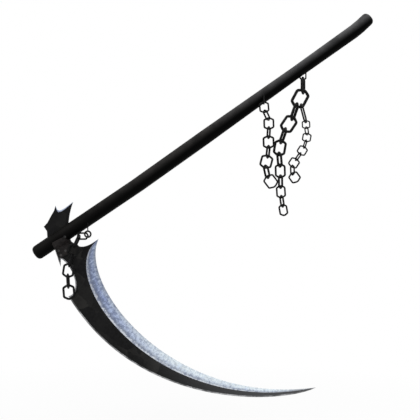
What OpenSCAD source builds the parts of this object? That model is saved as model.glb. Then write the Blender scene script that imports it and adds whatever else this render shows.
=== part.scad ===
// Reaper's scythe with hanging chains: a slotted pole, a crescent blade with a spiked wing,
// two cheeks that clamp it, and four chain strands whose links all swing.
// Millimetres. X runs to the right, Y away from the viewer, Z up.
// The origin is the middle of the grip, on the pole's own axis.

/* [Pole] */
// Angle of the pole's grip above the horizontal
pole_pitch = 35.4; // [25:0.1:45]
// Diameter of the pole at the head and along the grip
pole_d = 41.2; // [38:0.1:46]
// Length of the true cylinder in the middle, where a hand or a holder goes
grip_length = 180; // [120:5:220]
// Diameter of the pole where it is thinnest
waist_d = 35.3; // [30:0.1:37]
// Distance along the pole from the grip's middle to its thinnest place
waist_reach = 400; // [380:5:440]
// Diameter of the pole at the butt end
butt_d = 37.7; // [34:0.1:40]
// Distance along the pole from the grip's middle to the start of the butt's bend
butt_reach = 604; // [580:2:660]
// Angle by which the butt end turns up
butt_bend = 8; // [4:0.5:12]
// Length of the bent stretch at the butt end
butt_bend_length = 45; // [35:1:60]
// Distance along the pole from the grip's middle to the middle of the blade's tang
head_reach = 395; // [370:5:440]
// Angle by which the head half of the pole bows up
bow_angle = 1.4; // [0.8:0.1:2.4]
// Distance from the end of the grip's cylinder to the bow
bow_length = 50; // [30:2:80]
// Length of pole from the middle of the tang to the rounded head end
stub_length = 91; // [75:1:120]
// Corner radius of both rounded ends
end_round = 12; // [8:0.5:15]

/* [Blade] */
// Angle between the blade's own axes and the pole
blade_set = 34; // [28:0.5:40]
// Thickness of the blade's plate
plate_t = 5; // [4:0.5:7]
// Distance from the heel's point to the blade's point, measured across
blade_reach = 608; // [520:4:680]
// Distance from the heel's point to the blade's point, measured down
blade_drop = 416; // [380:4:450]
// Distance from the tang's middle across to the heel's point
heel_reach = 103; // [96:1:110]
// Thickness left at the ground cutting edge
edge_t = 0.6; // [0.4:0.1:1.2]
// Width of the bevel along the spine
spine_bevel = 4; // [2:0.5:5]
// Thickness left at the spine
spine_t = 2; // [1:0.25:3]
// Width of the ground bevel in the wing's hollow
wing_bevel = 5; // [3:0.5:6]
// Clearance between the plate and each side of the pole's slot
slot_clear = 0.1; // [0.05:0.01:0.2]

/* [Cheeks] */
// Thickness of the cheek's shell round the pole
cheek_t = 4; // [3:0.5:6]
// Thickness of the cheek's flange on the plate
flange_t = 4; // [3:0.5:6]
// Radius of the hollow between shell and flange
cheek_fillet = 14; // [10:1:18]
// Clearance between the cheek's shell and the pole
cheek_clear = 0.1; // [0.05:0.01:0.2]
// Diameter of the flush rivets through the flanges
rivet_d = 7; // [5:0.5:8]
// Diameter of the pins that hold the tang in the pole
pin_d = 8; // [6:0.5:10]
// Clearance of each rivet and pin in its hole
hole_clear = 0.05; // [0.03:0.01:0.1]

/* [Chains] */
// Clearance between two links where they hang on each other
seat_gap = 0.3; // [0.25:0.05:0.5]
// Length of the straight middle of a link's end, as a share of its bar diameter
end_flat = 1.2; // [1.1:0.05:1.4]
// Length of a link's straight sides, as a share of its length
side_share = 0.6; // [0.5:0.02:0.68]
// Bar diameter of a link, as a share of its length
bar_share = 0.118; // [0.1:0.002:0.13]
// Bar diameter of the staples and the eye
staple_d = 4; // [3:0.5:4.5]
// Distance along the pole from the grip's middle to the near chain's staple
near_staple_reach = 293; // [280:1:300]
// Distance along the pole from the grip's middle to the long chain's staple
long_staple_reach = 429; // [422:1:436]
// Distance along the pole from the tang's middle to the head chain's eye
eye_reach = 90; // [86:1:96]
// Length of the near chain's first link
near_first = 30.5; // [28:0.5:33]
// Length of the near chain's last link
near_last = 40; // [36:0.5:42]
// Length of the link that hangs the long chain from its staple
hanger_length = 47; // [44:0.5:50]
// Length of the long chain's first link
long_first = 54; // [50:0.5:56]
// Length of the long chain's last link
long_last = 32; // [30:0.5:36]
// Length of the side chain's first link, which hangs in the corner of the long chain's first
side_hook = 62; // [56:0.5:66]
// Length of the side chain's second link
side_first = 23.5; // [22:0.5:26]
// Length of the side chain's last link
side_last = 30; // [26:0.5:31]
// Length of the head chain's first link, which lies across under the pole
cross_link = 31; // [30:0.5:34]
// Length of the head chain's second link
head_first = 36; // [33:0.5:37]
// Length of the head chain's last link
head_last = 41; // [38:0.5:43]

/* [Hidden] */
$fn = 48;
curve_steps = 28;       // sides of the blade's long curves
arc_steps = 12;         // sides of its short ones
bar_sides = 12;         // sides of a link's bar
run_step = 0.2;         // how much slimmer a run of the pole is than the one that it starts in
run_sunk = 2;           // and how far inside that one it starts
sink = 14;              // how deep a staple's leg goes into the pole
leg_clear = 0.05;       // clearance of a leg in its hole

// ---- places on the pole ----
bow_reach = grip_length / 2 + bow_length;
head_run = head_reach - bow_reach;
head_pitch = pole_pitch - bow_angle;
blade_turn = head_pitch - blade_set;
pole_r = pole_d / 2;
head_d = pole_d - 2 * run_step;

// A place in the pole's frame (u along the grip, v across it) as [x, z] in the part's frame
function on_row(u, v) = [u * cos(pole_pitch) - v * sin(pole_pitch),
                         u * sin(pole_pitch) + v * cos(pole_pitch)];
// The place on the bowed head half, u from the tang's middle towards the butt, as [x, z]
function on_head(u) = on_row(-bow_reach - (head_run - u) * cos(bow_angle),
                             (head_run - u) * sin(bow_angle));
// The pole's radius at a distance u from the grip's middle, on the butt half
function pole_radius(u) =
    u < waist_reach
    ? (pole_d + (waist_d - pole_d) * (u - grip_length / 2) / (waist_reach - grip_length / 2)) / 2
    : (waist_d + (butt_d - waist_d) * (u - waist_reach) / (butt_reach - waist_reach)) / 2;
head_at = on_head(0);

// ---- the blade's curves, in the blade's own axes, from the tang's middle ----
heel = [heel_reach, -7.5];
point = heel + [blade_reach, -blade_drop];
wing_inner = [31.6, 96.6];      // the wing's point nearer the pole
wing_outer = [-17.4, 85.7];     // the wing's far point
spur = [18.5, -168.3];          // the point at the foot of the blade's back hollow
notch = [-2.5, -63];            // the nick beside the neck's spike
spike = [-3.4, -85.1];

function bezier(p, t) = pow(1 - t, 3) * p[0] + 3 * pow(1 - t, 2) * t * p[1]
    + 3 * (1 - t) * t * t * p[2] + pow(t, 3) * p[3];
function curve(p, steps) = [for (i = [0:steps]) bezier(p, i / steps)];
function share(x, z) = heel + [x * blade_reach, z * blade_drop];
function unit(v) = v / norm(v);
function mix(a, b, t) = a + (b - a) * t;
function rest(p) = [for (i = [1:len(p) - 1]) p[i]];
function reversed(p) = [for (i = [len(p) - 1:-1:0]) p[i]];
// A place beside a curve, square to it, on its left
function inset(p, t, distance) =
    let (way = unit(bezier(p, t + 0.001) - bezier(p, t - 0.001)))
    bezier(p, t) + distance * [-way.y, way.x];

edge_path = [heel, share(-0.1, -0.306), share(0.331, -1.131), point];
spine_path = [spur, spur + [0.329 * blade_reach, -0.796 * blade_drop], share(0.868, -1.105), point];
heel_path = [[27.1, -15.9], [37, -17], [47.2, -50.3], heel];
back_path = [notch, notch + [32.2, -16.9], spur + [40.3, 11.4], spur];
wing_path = [wing_outer, [-12.4, 70.7], [-11.2, 60.8], wing_inner];
wing_flat = [wing_outer - [0, 2], wing_path[1] - [0, wing_bevel],
             wing_path[2] - [0, wing_bevel], wing_inner - [1.6, 3]];
// The flat of the plate starts and ends just inside the ends of its spine; the cutting bevel
// begins a little along the heel's arc
flat_start = 0.03;
flat_end = 0.95;
bevel_start = 0.88;
ease = 0.4;                     // how far the other edges are eased with a file
function spine_flat(t) = inset(spine_path, mix(flat_start, flat_end, t), spine_bevel);
grind_path = [inset(heel_path, 0.95, -1.5), share(-0.208, -0.268), share(0.26, -1.2), spine_flat(1)];

// The blade's whole outline, run by run, with its inside on the left
back_run = concat([[-26, -18], spike], [for (i = [0:arc_steps - 1]) bezier(back_path, i / arc_steps)]);
spine_run = curve(spine_path, curve_steps);
edge_run = rest(reversed(curve(edge_path, curve_steps)));
heel_run = concat([for (i = [arc_steps - 1:-1:0]) bezier(heel_path, bevel_start * i / (arc_steps - 1))],
                  [[20, 0], [12, 15], [18.5, 36.4], [21, 56.6], [24.6, 73.9]]);
wing_run = reversed(curve(wing_path, arc_steps));
front_run = [[-21.6, 71.4], [-30.3, 56.6], [-40.3, 37.8], [-50.3, 26.6], [-41.5, 14], [-40.3, -5]];
rim = concat(back_run, spine_run, edge_run, heel_run, wing_run, front_run);
rim_count = len(rim);
heel_place = len(back_run) + len(spine_run) + len(edge_run);
// The edge of the plate's flat beside the outline, from one place on it for a count of places
function eased(from, count) = [for (i = [from:from + count - 1])
    let (to = unit(rim[(i + 1) % rim_count] - rim[i]),
         came = unit(rim[i] - rim[(i + rim_count - 1) % rim_count]),
         inward = unit([-to.y - came.y, to.x + came.x]))
    rim[i] + inward * ease / (inward * [-to.y, to.x])];
flat = concat(eased(0, len(back_run)),
              [for (i = [0:curve_steps]) spine_flat(i / curve_steps)],
              rest(reversed(curve(grind_path, curve_steps))),
              eased(heel_place, len(heel_run)),
              reversed(curve(wing_flat, arc_steps)),
              eased(heel_place + len(heel_run) + len(wing_run), len(front_run)));
// How far along the pole from the tang's middle the slot has to reach to take the neck
neck_places = [for (p = rim) [p.x * cos(blade_set) + p.y * sin(blade_set),
                              p.y * cos(blade_set) - p.x * sin(blade_set)]];
slot_reach = slot_clear + max(
    [for (i = [0:rim_count - 1], edge = [-pole_r, pole_r])
        let (a = neck_places[i], b = neck_places[(i + 1) % rim_count])
        if ((a.y - edge) * (b.y - edge) < 0) mix(a.x, b.x, (edge - a.y) / (b.y - a.y))]);
function alike(count, value) = [for (i = [1:count]) value];
eased_t = plate_t - 2 * ease;
rim_t = concat(alike(len(back_run), eased_t), alike(len(spine_run), spine_t),
               alike(len(edge_run), edge_t), alike(len(heel_run), eased_t),
               alike(len(wing_run), edge_t), alike(len(front_run), eased_t));

// ---- chain links ----
function lengths(first, last, count) = [for (i = [0:count - 1]) mix(first, last, i / (count - 1))];
// Each chain: its name, lengths, width share, leans in degrees from the vertical with the top
// to the right positive, and rolls about the long axis: 0 is face-on to the viewer, 90 edge-on
near_links = lengths(near_first, near_last, 9);
near_leans = [-5, -25, -2, 3, -2, 6, 15, -13, -37];
near_rolls = [for (i = [0:8]) i % 2 == 0 ? 0 : 90];
long_links = concat([hanger_length], lengths(long_first, long_last, 11));
long_leans = [0, 28, 19, 34, 19, 10, -5, -2, -1, -4, -8, -10];
long_rolls = [for (i = [0:11]) i % 2 == 0 ? 90 : 0];
side_links = concat([side_hook], lengths(side_first, side_last, 9));
side_leans = [-15, -3, -8, 10, 17, 32, 35, 33, -2, -36];
side_rolls = [for (i = [0:9]) i % 2 == 0 ? 90 : 0];
head_links = concat([cross_link], lengths(head_first, head_last, 6));
head_leans = [90, 25, 17, 14, 9, -3, -5];
head_rolls = [-40, 84, 0, 90, 0, 90, 0];

near_wide = 0.86;
long_wide = 0.72;
side_wide = 0.95;
head_wide = 0.78;

// Unit vectors of a link: along it to its top end, and along its end bars
function up_of(lean) = [sin(lean), 0, cos(lean)];
function across_of(lean, roll) =
    cos(roll) * [cos(lean), 0, -sin(lean)] + sin(roll) * [0, 1, 0];
// From a carrier's bar to the bar that hangs on it: square to both, on the carrier's inner side
function seat_way(up, bar_a, bar_b) =
    let (n = unit(cross(bar_a, bar_b))) n * up >= 0 ? n : -n;
// A hung link as [centre, place of the bar that carries it, place of its own top bar]
function hang(from, up, bar, d, length, lean, roll) =
    let (own_d = bar_share * length,
         top = from + seat_way(up, bar, across_of(lean, roll)) * ((d + own_d) / 2 + seat_gap))
    [top - up_of(lean) * (length - own_d) / 2, from, top];
// The whole strand, link by link, each hung on the bottom bar of the one before
function strand(from, up, bar, d, links, leans, rolls, i = 0) =
    i == len(links) ? [] :
    let (here = hang(from, up, bar, d, links[i], leans[i], rolls[i]),
         half = (links[i] - bar_share * links[i]) / 2)
    concat([here], strand(here[0] - up_of(leans[i]) * half, up_of(leans[i]),
        across_of(leans[i], rolls[i]), bar_share * links[i], links, leans, rolls, i + 1));

// ---- where the chains begin ----
near_at = on_row(near_staple_reach, 0);
near_r = pole_radius(near_staple_reach);
near_front = near_r + 5.3;      // how far in front of the pole's axis the near chain hangs
near_low = near_r / cos(pole_pitch) + 2.6;
staple_flat = 0.85 * staple_d;   // half the straight bottom that a chain hangs on
near_elbow = [6.5 - near_r, 4.2 - near_low];        // the bend of the near staple's lower leg
near_leg = [10 - near_r, 22 - near_low];         // and that leg's end, inside the pole
near_root = [near_at.x, -near_front, near_at.y - near_low];
long_at = on_row(long_staple_reach, 0);
long_low = pole_radius(long_staple_reach) / cos(pole_pitch) + 13;
long_leg = 8;                   // from the staple's middle to each leg
long_sunk = sink - long_low + 13;
long_root = [long_at.x, 0, long_at.y - long_low];
eye_at = on_head(eye_reach);
eye_ring = 7.5;                 // radius of the eye's ring, to the middle of its bar
eye_d = 3;
eye_front = pole_r - 4.5;
eye_low = pole_r / cos(head_pitch) + 19.5;
eye_root = [eye_at.x, -eye_front, eye_at.y - eye_low - eye_ring];

near_strand = strand(near_root, [0, 0, 1], [0, 1, 0], staple_d, near_links, near_leans, near_rolls);
long_strand = strand(long_root, [0, 0, 1], [1, 0, 0], staple_d, long_links, long_leans, long_rolls);
head_strand = strand(eye_root, [0, 0, 1], [1, 0, 0], eye_d, head_links, head_leans, head_rolls);

// The side chain hangs in the lowest corner of the long chain's first big link
big = 1;
big_d = bar_share * long_links[big];
big_side = side_share * long_links[big] / 2;
big_corner = long_strand[big][0]
    + across_of(long_leans[big], 0) * (long_wide * long_links[big] - big_d) / 2
    - up_of(long_leans[big]) * big_side;
big_slope = atan2((long_links[big] - big_d) / 2 - big_side,
                  (long_wide * long_links[big] - big_d) / 2 - end_flat * big_d / 2);
// half the angle between the two bars that meet in that corner, and the way to its inside
corner_half = (90 + big_slope) / 2;
corner_way = cos(corner_half) * up_of(long_leans[big])
    - sin(corner_half) * across_of(long_leans[big], 0);
hook_d = bar_share * side_links[0];
hook_top = big_corner + corner_way * ((big_d + hook_d) / 2 + seat_gap) / sin(corner_half);
hook_half = (side_links[0] - hook_d) / 2;
side_strand = concat(
    [[hook_top - up_of(side_leans[0]) * hook_half, big_corner, hook_top]],
    strand(hook_top - 2 * up_of(side_leans[0]) * hook_half, up_of(side_leans[0]), [0, 1, 0],
        hook_d, side_links, side_leans, side_rolls, 1));

// ---- frames ----
module pole_frame() rotate([0, -pole_pitch, 0]) children();

module head_frame() translate([head_at.x, 0, head_at.y]) rotate([0, -head_pitch, 0]) children();

module blade_frame() translate([head_at.x, 0, head_at.y]) rotate([0, -blade_turn, 0]) children();

// ---- bars ----
// A bar along a path in the XZ plane, mitred at its corners; its sides touch a circle of
// diameter d from within
module bar_path(path, d, closed = false) {
    count = len(path);
    last = count - 1;
    sections = [for (i = [0:last])
        let (to = unit(path[(i + 1) % count] - path[i]),
             from = unit(path[i] - path[(i + last) % count]),
             came = !closed && i == 0 ? to : from,
             goes = !closed && i == last ? from : to,
             square_to = unit([came.y + goes.y, -came.x - goes.x]),
             stretch = 1 / sqrt((1 + came * goes) / 2))
        each [for (k = [0:bar_sides - 1])
            let (a = 360 * k / bar_sides, out = path[i] + square_to * stretch * d / 2 * cos(a))
            [out.x, d / 2 * sin(a), out.y]]];
    walls = [for (i = [0:closed ? last : last - 1], k = [0:bar_sides - 1])
        let (a = i * bar_sides + k, b = i * bar_sides + (k + 1) % bar_sides,
             c = (i + 1) % count * bar_sides + (k + 1) % bar_sides,
             e = (i + 1) % count * bar_sides + k)
        each [[a, e, b], [b, e, c]]];
    caps = closed ? [] : [[for (k = [0:bar_sides - 1]) k],
                          [for (k = [bar_sides - 1:-1:0]) last * bar_sides + k]];
    polyhedron(sections, concat(walls, caps));
}

// One chain link, face-on and upright: a long hexagon whose points are blunted
module chain_link(length, width) {
    d = bar_share * length;
    flat = end_flat * d / 2;
    half = (length - d) / 2;
    wide = (width - d) / 2;
    side = side_share * length / 2;
    color("#1b1b1c")
        bar_path([[flat, half], [wide, side], [wide, -side], [flat, -half],
                  [-flat, -half], [-wide, -side], [-wide, side], [-flat, half]], d, closed = true);
}

module placed_link(at, length, wide, lean, roll)
    translate(at) rotate([0, lean, 0]) rotate([0, 0, roll]) chain_link(length, wide * length);

// ---- the pole ----
module rod(d1, d2, length) rotate([0, 90, 0]) cylinder(d1 = d1, d2 = d2, h = length);

// A rounded end that closes a rod, drawn along +X with its open face at X = 0
module round_end(d, length)
    rotate([0, 90, 0])
        rotate_extrude() {
            square([d / 2, length - end_round]);
            square([d / 2 - end_round, length]);
            translate([d / 2 - end_round, length - end_round])
                intersection() {
                    circle(end_round);
                    square(end_round);
                }
        }

// A run of the pole that starts inside the one before it, turned up a little and a little slimmer
module butt_run(d, length, turn) {
    rotate([0, -turn, 0]) {
        translate([-run_sunk, 0, 0]) rod(d, d, length + run_sunk);
        translate([length, 0, 0]) children();
    }
}

module pole_blank() {
    pole_frame() {
        translate([-bow_reach, 0, 0]) rod(pole_d, pole_d, bow_reach + grip_length / 2);
        translate([grip_length / 2, 0, 0]) rod(pole_d, waist_d, waist_reach - grip_length / 2);
        translate([waist_reach, 0, 0]) rod(waist_d, butt_d, butt_reach - waist_reach);
        translate([butt_reach, 0, 0])
            butt_run(butt_d - 2 * run_step, butt_bend_length / 2, butt_bend / 2)
                butt_run(butt_d - 4 * run_step, butt_bend_length / 2, butt_bend / 2)
                    round_end(butt_d - 4 * run_step, end_round + 4);
    }
    // the head run is turned a little slimmer, and starts inside the grip's run
    head_frame() {
        straight = stub_length - end_round - 4;
        translate([-straight, 0, 0]) {
            rod(head_d, head_d, straight + head_run + run_sunk);
            rotate([0, 0, 180]) round_end(head_d, end_round + 4);
        }
    }
}

module pole() {
    slot = plate_t + 2 * slot_clear;
    color("#2b2625")
        difference() {
            pole_blank();
            head_frame()
                translate([-stub_length - 5, -slot / 2, -pole_r - 5])
                    cube([stub_length + 5 + slot_reach, slot, pole_d + 10]);
            tang_pin_shapes(pin_d + 2 * hole_clear, pole_d + 10);
            staple_holes();
        }
}

// ---- the blade ----
// The plate's flat cut into triangles, one corner at a time: a corner can go when it turns to
// the left and no other place on the flat's edge lies in it
function turn_at(a, b, c) = cross(b - a, c - a);
function lies_in(p, a, b, c) = turn_at(a, b, p) >= 0 && turn_at(b, c, p) >= 0 && turn_at(c, a, p) >= 0;
function is_ear(left, i) =
    let (n = len(left), before = left[(i + n - 1) % n], here = left[i], after = left[(i + 1) % n],
         a = flat[before], b = flat[here], c = flat[after])
    turn_at(a, b, c) > 0 && len([for (k = left)
        if (k != before && k != here && k != after && lies_in(flat[k], a, b, c)) k]) == 0;
function first_ear(left, i) = i == len(left) - 1 || is_ear(left, i) ? i : first_ear(left, i + 1);
function ears(left) =
    let (n = len(left), i = first_ear(left, 0))
    n == 3 ? [left]
    : concat([[left[(i + n - 1) % n], left[i], left[(i + 1) % n]]],
             ears([for (k = [0:n - 1]) if (k != i) left[k]]));

// A plate lofted from its flat out to its thinner rim, alike on both faces
module ground_plate() {
    corners = [for (i = [0:rim_count - 1])
        each [[flat[i].x, -plate_t / 2, flat[i].y], [rim[i].x, -rim_t[i] / 2, rim[i].y],
              [rim[i].x, rim_t[i] / 2, rim[i].y], [flat[i].x, plate_t / 2, flat[i].y]]];
    bevels = [for (i = [0:rim_count - 1], k = [0:2])
        let (a = 4 * i + k, b = 4 * ((i + 1) % rim_count) + k)
        each [[a, b, b + 1], [a, b + 1, a + 1]]];
    flats = [for (t = ears([for (i = [0:rim_count - 1]) i]))
        each [[4 * t[2], 4 * t[1], 4 * t[0]], [4 * t[0] + 3, 4 * t[1] + 3, 4 * t[2] + 3]]];
    polyhedron(corners, concat(bevels, flats));
}

module blade()
    color("#3a3b3d")
        difference() {
            blade_frame() ground_plate();
            tang_pin_shapes(pin_d + 2 * hole_clear, pole_d);
            flange_rivet_shapes(rivet_d + 2 * hole_clear, plate_t + 2);
        }

// ---- the cheeks ----
cheek_outline = [[-23, -17], [6.1, -1.9], [25.7, -13.1], [27.7, -23.5], [16, -50], [-1, -62],
                 [-7.5, -58], [-22.5, -24]];

// The cheek on the viewer's side: a quarter shell on the pole that runs down into a flange
module cheek_shape() {
    face = plate_t / 2 + flange_t;
    shell = pole_r + cheek_clear + cheek_t;
    hollow_y = face + cheek_fillet;
    hollow_z = sqrt(pow(shell + cheek_fillet, 2) - pow(hollow_y, 2));
    difference() {
        intersection() {
            blade_frame()
                rotate([90, 0, 0])
                    linear_extrude(2 * shell)
                        polygon(cheek_outline);
            head_frame()
                union() {
                    translate([-2 * pole_d, 0, 0]) rod(2 * shell, 2 * shell, 4 * pole_d);
                    translate([-2 * pole_d, 0, 0])
                        rotate([0, 90, 0])
                            linear_extrude(4 * pole_d)
                                polygon([[0, 0], [hollow_z, -hollow_y], [hollow_z, -face],
                                         [3 * pole_r, -face], [3 * pole_r, 0]]);
                }
        }
        head_frame() {
            translate([-4 * pole_d, 0, 0])
                rod(pole_d + 2 * cheek_clear, pole_d + 2 * cheek_clear, 8 * pole_d);
            translate([-4 * pole_d, -hollow_y, -hollow_z])
                rod(2 * cheek_fillet, 2 * cheek_fillet, 8 * pole_d);
            translate([-4 * pole_d, -plate_t / 2, -2 * pole_d])
                cube([8 * pole_d, 2 * pole_d, 4 * pole_d]);
        }
        flange_rivet_shapes(rivet_d + 2 * hole_clear, 4 * pole_d);
    }
}

module front_cheek() color("#4a4441") cheek_shape();

module rear_cheek() color("#4a4441") mirror([0, 1, 0]) cheek_shape();

// ---- rivets and pins ----
tang_pin_places = [-30, -11, 8];
flange_rivet_places = [[-8, -40], [11, -40], [-2, -53]];

// Round bars through the pole and tang, centred on the blade's plane
module tang_pin_shapes(d, length)
    head_frame()
        for (u = tang_pin_places)
            translate([u, 0, -7])
                rotate([90, 0, 0])
                    cylinder(d = d, h = length, center = true);

module flange_rivet_shapes(d, length)
    blade_frame()
        for (p = flange_rivet_places)
            translate([p.x, 0, p.y])
                rotate([90, 0, 0])
                    cylinder(d = d, h = length, center = true);

module tang_pins()
    color("#6a6a6c")
        tang_pin_shapes(pin_d, 2 * sqrt(pow(pole_r, 2) - pow(7 + pin_d / 2, 2)) - 0.5);

module flange_rivets()
    color("#4a4441")
        flange_rivet_shapes(rivet_d, plate_t + 2 * flange_t);

// ---- staples and eye ----
// The near chain's staple: both legs go into the pole's front, its loop hangs edge-on
module near_staple()
    color("#1b1b1c")
        translate([near_at.x, 0, near_at.y])
            rotate([0, 0, 90])
                bar_path([[-near_r + sink, 0], [-near_front - 6, 0],
                          [-near_front - 6, 9 - near_low], [-near_front - staple_flat, -near_low],
                          [-near_front + staple_flat, -near_low], near_elbow, near_leg], staple_d);

// The long chain's staple: a hoop under the pole, face-on
module long_staple()
    color("#1b1b1c")
        translate([long_at.x, 0, long_at.y])
            bar_path([[-long_leg, long_sunk], [-long_leg, 5 - long_low], [-staple_flat, -long_low],
                      [staple_flat, -long_low], [long_leg, 5 - long_low], [long_leg, long_sunk]],
                     staple_d);

// The head chain's eye: a ring on a shank that is driven up into the pole
module head_eye()
    color("#1b1b1c")
        translate([eye_at.x, -eye_front, eye_at.y - eye_low]) {
            rotate([90, 0, 0])
                rotate_extrude()
                    translate([eye_ring, 0])
                        circle(d = eye_d, $fn = 20);
            translate([0, 0, eye_ring])
                cylinder(d = eye_d, h = eye_low - eye_ring, $fn = 20);
        }

module staple_holes() {
    leg_hole = staple_d + 2 * leg_clear;
    elbow_way = near_leg - near_elbow;
    translate([near_at.x, sink - near_r + leg_clear, near_at.y])
        rotate([90, 0, 0])
            cylinder(d = leg_hole, h = 2 * sink);
    translate([near_at.x, near_elbow.x, near_at.y + near_elbow.y])
        rotate([-atan2(elbow_way.x, elbow_way.y), 0, 0])
            cylinder(d = leg_hole, h = norm(elbow_way) + leg_clear);
    for (side = [-1, 1])
        translate([long_at.x + side * long_leg, 0, long_at.y + long_sunk + leg_clear])
            mirror([0, 0, 1])
                cylinder(d = leg_hole, h = long_low);
    translate([eye_at.x, -eye_front, eye_at.y + leg_clear])
        mirror([0, 0, 1])
            cylinder(d = eye_d + 2 * leg_clear, h = eye_low - eye_ring);
}

pole();
blade();
front_cheek();
rear_cheek();
tang_pins();
flange_rivets();
near_staple();
long_staple();
head_eye();
for (i = [0:len(near_links) - 1])
    placed_link(near_strand[i][0], near_links[i], near_wide, near_leans[i], near_rolls[i]);
for (i = [0:len(long_links) - 1])
    placed_link(long_strand[i][0], long_links[i], long_wide, long_leans[i], long_rolls[i]);
for (i = [0:len(side_links) - 1])
    placed_link(side_strand[i][0], side_links[i], side_wide, side_leans[i], side_rolls[i]);
for (i = [0:len(head_links) - 1])
    placed_link(head_strand[i][0], head_links[i], head_wide, head_leans[i], head_rolls[i]);
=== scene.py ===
"""Looks of a reaper's scythe with hanging chains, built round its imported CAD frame."""
import logging
import math
from dataclasses import dataclass, field
from enum import Enum
from typing import Sequence

import bmesh
import bpy
import numpy as np
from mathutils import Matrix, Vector
from mathutils.bvhtree import BVHTree
from mathutils.geometry import tessellate_polygon


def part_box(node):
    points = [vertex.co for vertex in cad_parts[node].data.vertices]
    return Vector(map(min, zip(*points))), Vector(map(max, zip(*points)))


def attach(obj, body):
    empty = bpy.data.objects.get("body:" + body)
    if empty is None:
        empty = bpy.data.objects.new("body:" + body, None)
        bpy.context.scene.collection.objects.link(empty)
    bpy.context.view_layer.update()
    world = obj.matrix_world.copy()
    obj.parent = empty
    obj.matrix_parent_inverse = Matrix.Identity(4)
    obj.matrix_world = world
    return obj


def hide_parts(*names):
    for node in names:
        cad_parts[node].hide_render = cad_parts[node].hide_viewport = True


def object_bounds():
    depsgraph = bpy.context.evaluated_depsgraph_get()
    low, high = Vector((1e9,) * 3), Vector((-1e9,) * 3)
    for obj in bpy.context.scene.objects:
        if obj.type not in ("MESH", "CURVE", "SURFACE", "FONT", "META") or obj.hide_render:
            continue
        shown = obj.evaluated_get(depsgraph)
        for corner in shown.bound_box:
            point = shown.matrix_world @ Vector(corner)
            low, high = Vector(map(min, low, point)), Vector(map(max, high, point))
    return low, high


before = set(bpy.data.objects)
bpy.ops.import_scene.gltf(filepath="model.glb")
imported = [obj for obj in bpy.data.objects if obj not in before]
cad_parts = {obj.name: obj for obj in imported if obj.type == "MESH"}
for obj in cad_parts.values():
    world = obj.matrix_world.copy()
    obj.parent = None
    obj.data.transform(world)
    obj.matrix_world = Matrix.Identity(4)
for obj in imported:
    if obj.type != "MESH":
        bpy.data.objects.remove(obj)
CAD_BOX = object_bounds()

LOG = logging.getLogger("scythe")
MM = 0.001


# ---- the photograph's view ----

@dataclass(frozen=True)
class PhotoView:
    """The camera that sees the scythe as the photograph does."""

    width: float = 420.0
    height: float = 420.0
    metres_a_pixel: float = 0.0028
    grip_x: float = 178.10
    grip_y: float = 156.30
    lens: float = 85.0
    sensor: float = 36.0
    shift_x: float = 0.0
    shift_y: float = 0.0

    @property
    def long_side(self) -> float:
        """The longer side of the picture, in pixels."""
        return max(self.width, self.height)

    @property
    def centre(self) -> Vector:
        """The camera's place: square in front of the picture's middle."""
        distance = self.long_side * self.metres_a_pixel * self.lens / self.sensor
        return Vector(((self.width / 2 - self.grip_x) * self.metres_a_pixel, -distance,
                       (self.grip_y - self.height / 2) * self.metres_a_pixel))

    def make_camera(self) -> bpy.types.Object:
        """Makes the camera, looking along +Y.

        Returns:
            The camera, set as the scene's own.
        """
        data = bpy.data.cameras.new("photo_camera")
        data.lens, data.sensor_width, data.sensor_fit = self.lens, self.sensor, "AUTO"
        data.shift_x, data.shift_y = self.shift_x, self.shift_y
        data.clip_start, data.clip_end = 0.01, 100.0
        camera = bpy.data.objects.new("photo_camera", data)
        camera.location = self.centre
        camera.rotation_euler = (math.pi / 2, 0.0, 0.0)
        bpy.context.scene.collection.objects.link(camera)
        bpy.context.scene.camera = camera
        return camera

    def ray(self, x: float, y: float) -> Vector:
        """The way from the camera through an image point.

        The camera's axes are the row's X, Z and -Y, so the ray (a, b, -c) in them is (a, c, b).

        Args:
            x: Pixels from the picture's left side.
            y: Pixels from its top.

        Returns:
            The unit direction in the row's frame.
        """
        side = self.long_side
        across = x - self.width / 2 + self.shift_x * side
        up = self.height / 2 - y + self.shift_y * side
        return Vector((across, side * self.lens / self.sensor, up)).normalized()

    def pixels(self, points: np.ndarray) -> np.ndarray:
        """Where points show in the picture: x = W/2 + f X/Y and y = H/2 - f Z/Y from the camera.

        Args:
            points: Places as rows of x, y, z, in metres.

        Returns:
            Rows of x and y, in pixels.
        """
        away = points - np.array(self.centre)
        side = self.long_side
        size = side * self.lens / self.sensor / away[:, 1]
        return np.column_stack((self.width / 2 - self.shift_x * side + away[:, 0] * size,
                                self.height / 2 + self.shift_y * side - away[:, 2] * size))


VIEW = PhotoView()


class Edge(Enum):
    """A side of the object's outline in the picture, as an axis and a sign."""

    LEFT = (0, -1)
    RIGHT = (0, 1)
    TOP = (1, -1)
    BOTTOM = (1, 1)


OUTLINE_POINTS: dict[Edge, float] = {Edge.LEFT: 32.3, Edge.RIGHT: 372.3, Edge.TOP: 12.7,
                                     Edge.BOTTOM: 397.6}


@dataclass(frozen=True)
class ImagePoint:
    """A named place in the photograph, and what shows there.

    With a way, the place is the furthest vertex that way of those round the point, such as a
    corner's own; without one, it is the middle of what shows of the piece.
    """

    x: float
    y: float
    piece: str
    way: tuple[float, float] | None = None
    round_it: float = 9.0


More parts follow.
